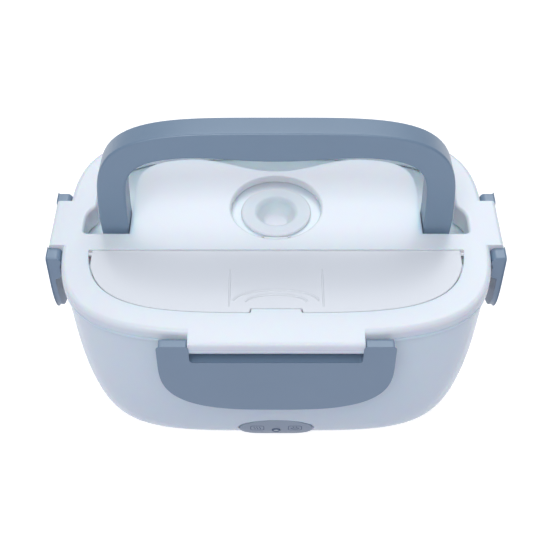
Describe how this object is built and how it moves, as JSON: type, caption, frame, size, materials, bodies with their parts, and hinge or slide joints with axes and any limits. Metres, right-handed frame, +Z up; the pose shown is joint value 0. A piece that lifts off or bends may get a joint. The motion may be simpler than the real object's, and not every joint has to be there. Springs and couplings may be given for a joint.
{
  "type": "electric lunch box",
  "caption": "Heated lunch box: rounded white body with lift-out food trays, a latched lift-off lid with a swinging carry handle, a steam vent and a clear-covered spoon compartment.",
  "frame": {"origin": "middle of the footprint on the table, under the feet", "axes": "+X to the object's right along its length, the front with the indicator faces -Y, +Z up"},
  "size_m": [0.2394, 0.1718, 0.1602],
  "materials": {
    "white_plastic": "smooth glossy white polypropylene",
    "basin_plastic": "smooth white polypropylene liner",
    "blue_grey_plastic": "smooth satin blue-grey polypropylene",
    "panel_plastic": "smooth grey indicator panel",
    "clear_plastic": "clear polystyrene",
    "tray_plastic": "smooth white polypropylene",
    "silicone": "milky translucent silicone",
    "black_rubber": "soft black rubber",
    "steel": "plated steel",
    "aluminium": "plain rolled aluminium",
    "black_plastic": "black thermoset plastic",
    "board": "green circuit board",
    "lens": "milky clear lens",
    "lead": "red silicone insulation"
  },
  "bodies": {
    "base": {"outer_shell": "white_plastic", "inner_basin": "basin_plastic", "bottom_plate": "white_plastic", "rubber_feet": "black_rubber", "base_screws": "steel", "heat_plate": "aluminium", "ptc_heater": "aluminium", "heater_clamp": "steel", "thermostat": "black_plastic", "thermal_fuse": "steel", "internal_leads": "lead", "mains_inlet": "black_plastic", "inlet_pins": "steel", "lamp_board": "board", "lamp_lens": "lens", "indicator_panel": "panel_plastic"},
    "tray": {"food_tray": "tray_plastic"},
    "insert": {"tray_insert": "blue_grey_plastic"},
    "lid": {"lid_top": "white_plastic", "lid_underside": "white_plastic", "lid_seal": "silicone", "latch_pins": "steel", "handle_pins": "blue_grey_plastic", "vent_tab": "silicone"},
    "vent": {"vent_plug": "silicone"},
    "cover": {"storage_cover": "clear_plastic"},
    "spoon": {"spoon": "white_plastic"},
    "handle": {"handle": "blue_grey_plastic"},
    "latch_front": {"latch_front": "blue_grey_plastic"},
    "latch_rear": {"latch_rear": "blue_grey_plastic"},
    "latch_left": {"latch_left": "blue_grey_plastic"},
    "latch_right": {"latch_right": "blue_grey_plastic"}
  },
  "joints": [
    {"name": "lid_lift", "type": "slide", "parent": "base", "child": "lid", "axis": [0, 0, 1], "range_m": [0, 0.12]},
    {"name": "tray_lift", "type": "slide", "parent": "base", "child": "tray", "axis": [0, 0, 1], "range_m": [0, 0.06]},
    {"name": "insert_lift", "type": "slide", "parent": "base", "child": "insert", "axis": [0, 0, 1], "range_m": [0, 0.09]},
    {"name": "handle_swing", "type": "hinge", "parent": "lid", "child": "handle", "pos_m": [0, 0.002, 0.0955], "axis": [1, 0, 0], "range_deg": [-82, 8]},
    {"name": "front_latch_swing", "type": "hinge", "parent": "lid", "child": "latch_front", "pos_m": [0, -0.0822, 0.0965], "axis": [-1, 0, 0], "range_deg": [-4, 115]},
    {"name": "rear_latch_swing", "type": "hinge", "parent": "lid", "child": "latch_rear", "pos_m": [0, 0.0822, 0.0965], "axis": [1, 0, 0], "range_deg": [-4, 115]},
    {"name": "left_latch_swing", "type": "hinge", "parent": "lid", "child": "latch_left", "pos_m": [-0.116, 0, 0.0965], "axis": [0, 1, 0], "range_deg": [-4, 115]},
    {"name": "right_latch_swing", "type": "hinge", "parent": "lid", "child": "latch_right", "pos_m": [0.116, 0, 0.0965], "axis": [0, -1, 0], "range_deg": [-4, 115]},
    {"name": "vent_flip", "type": "hinge", "parent": "lid", "child": "vent", "pos_m": [0, -0.0076, 0.098], "axis": [1, 0, 0], "range_deg": [0, 90]},
    {"name": "cover_swing", "type": "hinge", "parent": "lid", "child": "cover", "pos_m": [0, -0.02305, 0.1008], "axis": [-1, 0, 0], "range_deg": [0, 100]},
    {"name": "spoon_lift", "type": "slide", "parent": "lid", "child": "spoon", "axis": [0, 0, 1], "range_m": [0, 0.022]}
  ],
  "couplings": [
    {"joint": "tray_lift", "follows": "lid_lift", "ratio": 0.5},
    {"joint": "insert_lift", "follows": "lid_lift", "ratio": 0.75},
    {"joint": "cover_swing", "follows": "spoon_lift", "rad_per_m": 79.3}
  ]
}
